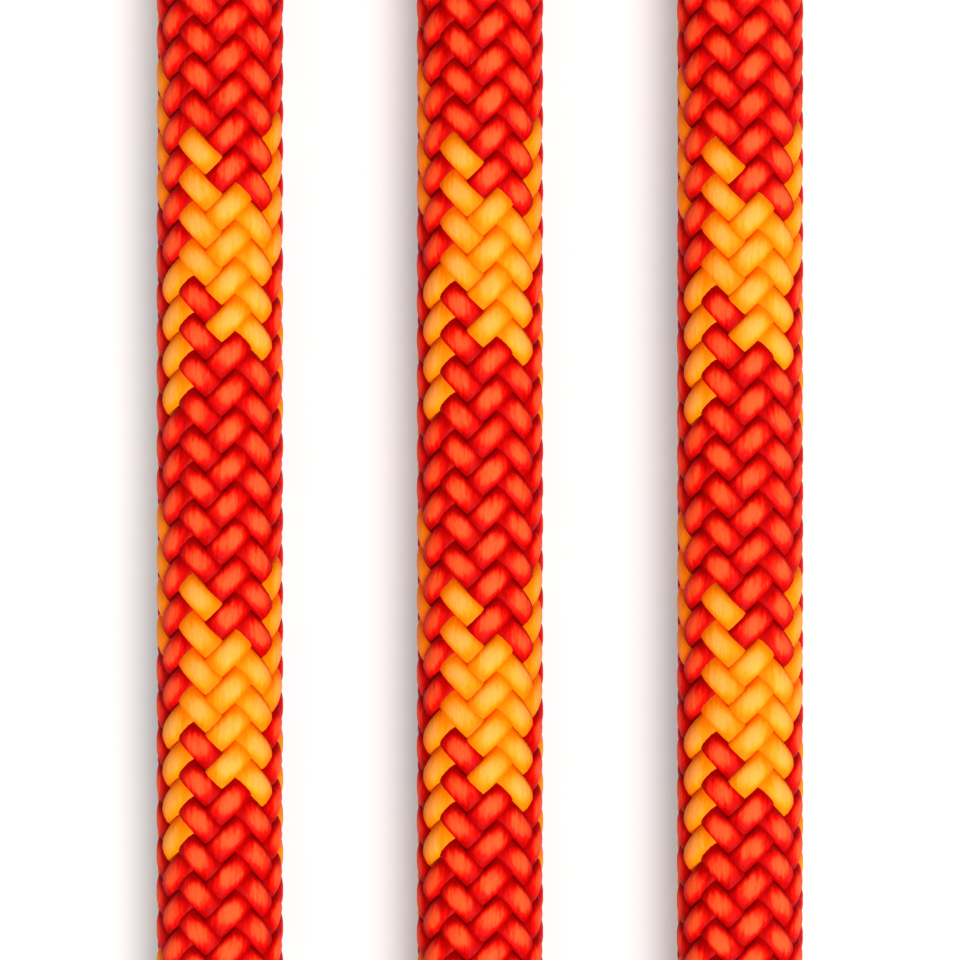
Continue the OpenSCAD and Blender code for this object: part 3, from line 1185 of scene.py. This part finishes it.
# %% Ends of the rope
sleeve_wall_r = 5.72
sleeve_lip = [(0, 4.7), (0.02, 5.25), (0.12, 5.48), (0.4, 5.6), (1.2, 5.68), (3, sleeve_wall_r)]
sleeve_wall = [(x, sleeve_wall_r) for x in np.arange(3.5, sleeve_length - 3, 0.5)]
sleeve_rows = sleeve_lip + sleeve_wall + [(sleeve_length - x, r) for x, r in reversed(sleeve_lip)]
tip_rows = [(0, 0.05), (0.06, 1.6), (0.22, 2.9), (0.5, 3.9), (0.95, 4.55), (1.5, 4.9), (2.6, 5.0)]
tip_rows += [(3, 4.6)]


def end_piece(name, cut, way, rows, sides, paint, relief):
    """A skin with this profile, from the rope's cut face inwards. Way is 1 or -1."""
    inwards, radius = np.array(rows)[::way].T
    return skinned(name, cut + way * inwards, radius, sides, paint, relief)


def end_pieces(end, cut, way):
    """A sleeve and a fused tip at the rope's end."""
    sleeve_at = cut + way * tip_cover
    sleeve_skin = (72, sleeve_paint, (0.0, -0.2, -0.14))
    tip_skin = (48, tip_paint, (0.0, -0.18, -0.1))
    return [
        end_piece(end + "_sleeve_skin", sleeve_at, way, sleeve_rows, *sleeve_skin),
        end_piece(end + "_melted_tip", cut, way, tip_rows, *tip_skin),
    ]


ends = end_pieces("near_end", 0.0, 1) + end_pieces("far_end", rope_length, -1)

# %% [markdown]
# ## Straps round the coil
#
# Each strap is one length of webbing that closes on itself with hook and loop. It goes once round
# the bundle and on over its own first end. It could be bent from a flat strip, but a band that
# follows a line, like the rope does, keeps its width and thickness everywhere. Its section is a
# rectangle with rounded edges.


# %% Tree: a band of webbing
def make_strap_tree():
    tree = Shaper("strap_band", {
        "Width": ("Float", 0.02),
        "Thickness": ("Float", 0.0012),
        "Rounding": ("Float", 0.0005),
        "Material": ("Material", None),
    })
    line = tree.out("GeometryNodeMeshToCurve", Mesh=tree.given("Geometry"))
    line = tree.store(line, "middle", tree.out("GeometryNodeInputPosition"), "FLOAT_VECTOR")
    rectangle = tree.out(
        "GeometryNodeCurvePrimitiveQuadrilateral",
        Width=tree.given("Width"), Height=tree.given("Thickness"),
    )
    rounded = tree.out(
        "GeometryNodeFilletCurve", {"mode": "POLY"},
        Curve=rectangle, Radius=tree.given("Rounding"), Count=3,
    )
    section = tree.store(rounded, "flat", tree.out("GeometryNodeInputPosition"), "FLOAT_VECTOR")
    mesh = tree.out("GeometryNodeCurveToMesh", Curve=line, Profile_Curve=section, Fill_Caps=True)
    x, y, _ = tree.split(tree.arrow("flat"))
    skin = tree.arrow("middle") + tree.arrow("side") * (x * tree.named("taper"))
    skin = skin + tree.arrow("outward") * y
    mesh = tree.out("GeometryNodeSetPosition", Geometry=mesh, Position=skin)
    weave = tree.vector(x * (1 / MM), tree.named("along"), y * (1 / MM))
    mesh = tree.store(mesh, "weave", weave, "FLOAT_VECTOR")
    return tree.done(mesh, "middle", "flat", "side", "outward", "taper", "along")


strap_tree = make_strap_tree()

# %% [markdown]
# Webbing is a dull black ribbon with a fine over-and-under weave and a flat woven edge. Two sines,
# one across and one along, make the weave, and some fuzz breaks up its colour.

# %% Material: webbing
warp_pitch = 1.25
weft_pitch = 0.9
edge_width = 1.4
low_black = (0.004, 0.004, 0.005, 1)
high_black = (0.026, 0.026, 0.030, 1)
edge_black = (0.013, 0.013, 0.015, 1)
strap_paint = Paint("strap_webbing", Specular_IOR_Level=0.12, Sheen_Weight=0.04, Sheen_Roughness=0.4)
wide, along, _ = strap_paint.split(strap_paint.attribute("weave", "Vector"))
warp = strap_paint.maths("SINE", wide * (FULL_TURN / warp_pitch))
weft = strap_paint.maths("SINE", along * (FULL_TURN / weft_pitch))
ribs = warp * weft * 0.5 + 0.5
edge_from = strap_width / 2 - edge_width
border = strap_paint.between(strap_paint.maths("ABSOLUTE", wide), edge_from, edge_from + 0.2)
fuzz = strap_paint.noise(strap_paint.vector(wide * 3, along * 3, 0.0), 1.0, 3.0)
cloth = strap_paint.mix(ribs * 0.7 + fuzz * 0.3, low_black, high_black)
strap_paint.set("Base Color", strap_paint.mix(border * 0.6, cloth, edge_black))
strap_paint.set("Roughness", 0.6 + fuzz * 0.25)
strap_paint.bump(ribs + fuzz * 0.3, 0.7, 0.00025)
strap_paint.report()

# %% [markdown]
# The band's line is worked out upright and then turned to each strap's place on the coil. Where
# the band reaches its own first end it steps up by its thickness. Both its ends narrow to a round.

# %% Bands
strap_start, strap_close, strap_end = 20.0, 380.0, 450.0
step_up, step_run = 30, 28
round_end = 4.0
end_width = 0.65
strap_middle_r = coil_r * math.cos(math.radians(strap_flat))
along_coil = np.array([0.0, 1.0, 0.0])


def strap_line(turned, rise=0.0):
    """Middle and outward direction of a strap's band at these angles round the bundle."""
    up_part = strap_t * eased((turned - strap_close + step_up) / step_run)
    reach = strap_r + strap_t / 2 + up_part + rise
    outward = np.stack([np.cos(np.radians(turned)), 0 * turned, np.sin(np.radians(turned))], axis=-1)
    middle = outward * reach[:, None] + (strap_middle_r, 0, bundle_z + strap_lift)
    return middle, outward


def about_coil(vectors, angle):
    """The vectors turned to this angle on the coil."""
    c, s = math.cos(math.radians(angle)), math.sin(math.radians(angle))
    return vectors @ np.array([[c, s, 0], [-s, c, 0], [0, 0, 1]])


def strap_band(number, angle):
    turned = np.linspace(strap_start, strap_end, int(strap_end - strap_start) + 1)
    middle, outward = strap_line(turned)
    along = np.radians(turned - strap_start) * strap_r
    to_end = np.minimum(along, along[-1] - along)
    rounded = np.sqrt(np.clip(1 - (1 - np.clip(to_end / round_end, 0, 1)) ** 2, 0, 1))
    seed = point_mesh(
        "strap_line",
        about_coil(middle, angle) + coil_at,
        side=about_coil(along_coil[None], angle).repeat(len(turned), axis=0),
        outward=about_coil(outward, angle),
        taper=rounded * (1 - end_width) + end_width,
        along=along,
    )
    return grown(f"coil_strap_band_{number}", seed, strap_tree, {
        "Width": strap_width * MM,
        "Thickness": strap_t * MM,
        "Rounding": 0.45 * MM,
        "Material": strap_paint.material,
    })


print("a band is", round(math.radians(strap_end - strap_start) * strap_r), "mm long")

# %% [markdown]
# Stitches hold the hook patch on the strap's outer end. A stitch is a short bead of thread that
# lies on the cloth, so a second tree puts one on each of a few points and turns it along its seam.


# %% Tree: stitches
def make_stitch_tree():
    tree = Shaper("strap_stitches", {
        "Length": ("Float", 0.0022),
        "Thread": ("Float", 0.00055),
        "Material": ("Material", None),
    })
    bead = tree.out("GeometryNodeMeshUVSphere", Segments=6, Rings=4, Radius=0.5)
    size = tree.vector(tree.given("Length"), tree.given("Thread"), tree.given("Thread"))
    bead = tree.out("GeometryNodeTransform", Geometry=bead, Scale=size)
    turned = tree.out(
        "FunctionNodeAxesToRotation", {"primary_axis": "X", "secondary_axis": "Z"},
        Primary_Axis=tree.arrow("ahead"), Secondary_Axis=tree.arrow("outward"),
    )
    beads = tree.out(
        "GeometryNodeInstanceOnPoints",
        Points=tree.given("Geometry"), Instance=bead, Rotation=turned,
    )
    return tree.done(beads, "ahead", "outward")


stitch_tree = make_stitch_tree()

# %% [markdown]
# The thread is a plain grey nylon, a little lighter than the webbing so that the seam can be seen.
# A very fine noise stands for its twist.

# %% Material: stitching thread
thread_dark = (0.10, 0.10, 0.11, 1)
thread_light = (0.22, 0.22, 0.24, 1)
thread_paint = Paint("stitching_thread", Specular_IOR_Level=0.4, Roughness=0.5)
twist = thread_paint.noise(thread_paint.here(), 3000.0, 2.0)
thread_paint.set("Base Color", thread_paint.mix(twist, thread_dark, thread_light))
thread_paint.bump(twist, 0.4, 0.0001)
thread_paint.report()

# %% [markdown]
# Two seams run along the edges of the hook patch and one across each of its ends. With the trees
# and the materials ready, the three straps are made in one go.

# %% Straps and stitches
seam_start, seam_end = strap_end - 26, strap_end - 6
seam_x = 7.5
cross_seam_x = 5.4
stitch_gap = 0.05


def strap_stitches(number, angle):
    spots = [(t, x, 0) for x in (-seam_x, seam_x) for t in np.linspace(seam_start, seam_end, 7)]
    cross_xs = np.linspace(-cross_seam_x, cross_seam_x, 5)
    spots += [(t, x, 1) for t in (seam_start, seam_end) for x in cross_xs]
    turned, wide, crossways = np.array(spots).T
    middle, outward = strap_line(turned, strap_t / 2 + stitch_gap)
    middle = middle + wide[:, None] * along_coil
    ahead = np.where(crossways[:, None] == 1, along_coil, np.cross(along_coil, outward))
    seed = point_mesh(
        "stitches",
        about_coil(middle, angle) + coil_at,
        joined=False,
        ahead=about_coil(ahead, angle),
        outward=about_coil(outward, angle),
    )
    return grown(f"coil_strap_stitches_{number}", seed, stitch_tree, {
        "Length": 2.3 * MM,
        "Thread": 0.6 * MM,
        "Material": thread_paint.material,
    })


straps = [[strap_band(i + 1, a), strap_stitches(i + 1, a)] for i, a in enumerate(strap_angles)]

# %% [markdown]
# ## Core and marker tape
#
# The core strands and the marker tape are right as the CAD has them: plain strands inside the
# sheath. They are rarely seen, but a cut through the rope would show them. The core is undyed
# nylon in plies, so slanting bands vary its cream, and a fine noise adds the fibres.

# %% Material: core strands
shaded_cream = (0.62, 0.58, 0.50, 1)
cream = (0.88, 0.86, 0.80, 1)
pale_fibre = (0.95, 0.93, 0.88, 1)
core_paint = Paint("core_nylon", Specular_IOR_Level=0.4, Sheen_Weight=0.1)
plies = core_paint.out(
    "ShaderNodeTexWave", {"bands_direction": "DIAGONAL"},
    Vector=core_paint.here(), Scale=600.0, Distortion=3.0,
)
fibres = core_paint.noise(core_paint.here(), 2500.0, 3.0)
undyed = core_paint.mix(plies, shaded_cream, cream)
core_paint.set("Base Color", core_paint.mix(fibres * 0.4, undyed, pale_fibre))
core_paint.set("Roughness", 0.45 + fibres * 0.2)
core_paint.bump(fibres + plies * 0.5, 0.5, 0.0002)
core_paint.report()

# %% [markdown]
# The marker tape is a thin satin ribbon, which tells a buyer the year and the maker's lot. It is
# plain orange here, with a slight unevenness in colour and shine.

# %% Material: marker tape
tape_orange = (0.85, 0.30, 0.02, 1)
tape_light = (0.95, 0.42, 0.05, 1)
tape_paint = Paint("ribbon_satin", Specular_IOR_Level=0.5)
satin = tape_paint.noise(tape_paint.here(), 1200.0, 2.0)
tape_paint.set("Base Color", tape_paint.mix(satin, tape_orange, tape_light))
tape_paint.set("Roughness", 0.3 + satin * 0.15)
tape_paint.report()

# %% [markdown]
# Both are put in the slots that the CAD pieces already have. Their shapes stay as they are.

# %% Dress the CAD pieces that stay
for kind, paint in (("core_strand", core_paint), ("marker_tape", tape_paint)):
    nodes = [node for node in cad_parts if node.startswith(kind)]
    for node in nodes:
        for slot in bpy.data.objects[node].material_slots:
            slot.material = paint.material
    print(paint.material.name, "is on", len(nodes), "CAD pieces")

# %% [markdown]
# ## Table and light
#
# The table is a large white sheet. Red light that bounces off the rope would tint it, so its colour
# leans a little the other way, and a weak glow keeps it white.

# %% Table
half = 30.0
table = bpy.data.meshes.new("table")
corners = [(-half, -half, 0), (half, -half, 0), (half, half, 0), (-half, half, 0)]
table.from_pydata(corners, [], [(0, 1, 2, 3)])
table_piece = put("table", table)
white = Paint(
    "white_table", Base_Color=(0.497, 0.461, 0.463, 1), Roughness=0.9, Specular_IOR_Level=0.0,
    Emission_Color=(0.78, 1, 1, 1), Emission_Strength=0.31,
)
table.materials.append(white.material)
print("the table is", 2 * half, "m wide")

# %% [markdown]
# One wide, soft light stands high on the right and towards the near end, so that each float has a
# bright lower edge and each run a soft shadow on its left. It is a sun with a wide angle, because a
# lamp close by would light the runs unequally. A bright room fills the shadows.

# %% Light
key_elevation = math.radians(73)
key_lean = math.radians(38)
key_data = bpy.data.lights.new("softbox", "SUN")
key_data.angle = math.radians(26)
key_data.energy = 5.0
key = put("softbox", key_data)
key_way = Vector((
    math.cos(key_elevation) * math.cos(key_lean),
    -math.sin(key_lean),
    math.sin(key_elevation) * math.cos(key_lean),
))
key.rotation_mode = "QUATERNION"
key.rotation_quaternion = key_way.to_track_quat("Z", "Y")

room = bpy.data.worlds.new("soft_room")
room.use_nodes = True
sky = room.node_tree.nodes["Background"]
sky.inputs["Color"].default_value = (1, 1, 1, 1)
sky.inputs["Strength"].default_value = 0.5
bpy.context.scene.world = room
bpy.context.scene.view_settings.view_transform = "Standard"
print("the light comes from", [round(x, 2) for x in key_way])

# %% [markdown]
# ## What each piece stands for
#
# The rope has no joint, so every piece rides on the one body. The CAD pieces that they are drawn
# instead of are then hidden.

# %% Tell the frame
strap_pieces = [piece for pair in straps for piece in pair]
for piece in braid + skins + ends + strap_pieces + [rope]:
    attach(piece, "root")
for piece in braid[:6]:
    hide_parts("sheath")
for piece in braid[6:] + skins:
    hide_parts("coil_outer_turns")
for piece, node in zip(ends, ("near_end_sleeve", "near_end_tip", "far_end_sleeve", "far_end_tip")):
    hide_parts(node)
for i, pair in enumerate(straps):
    for piece in pair:
        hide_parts(f"coil_strap_{i + 1}")
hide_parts("coil_inner_turns")
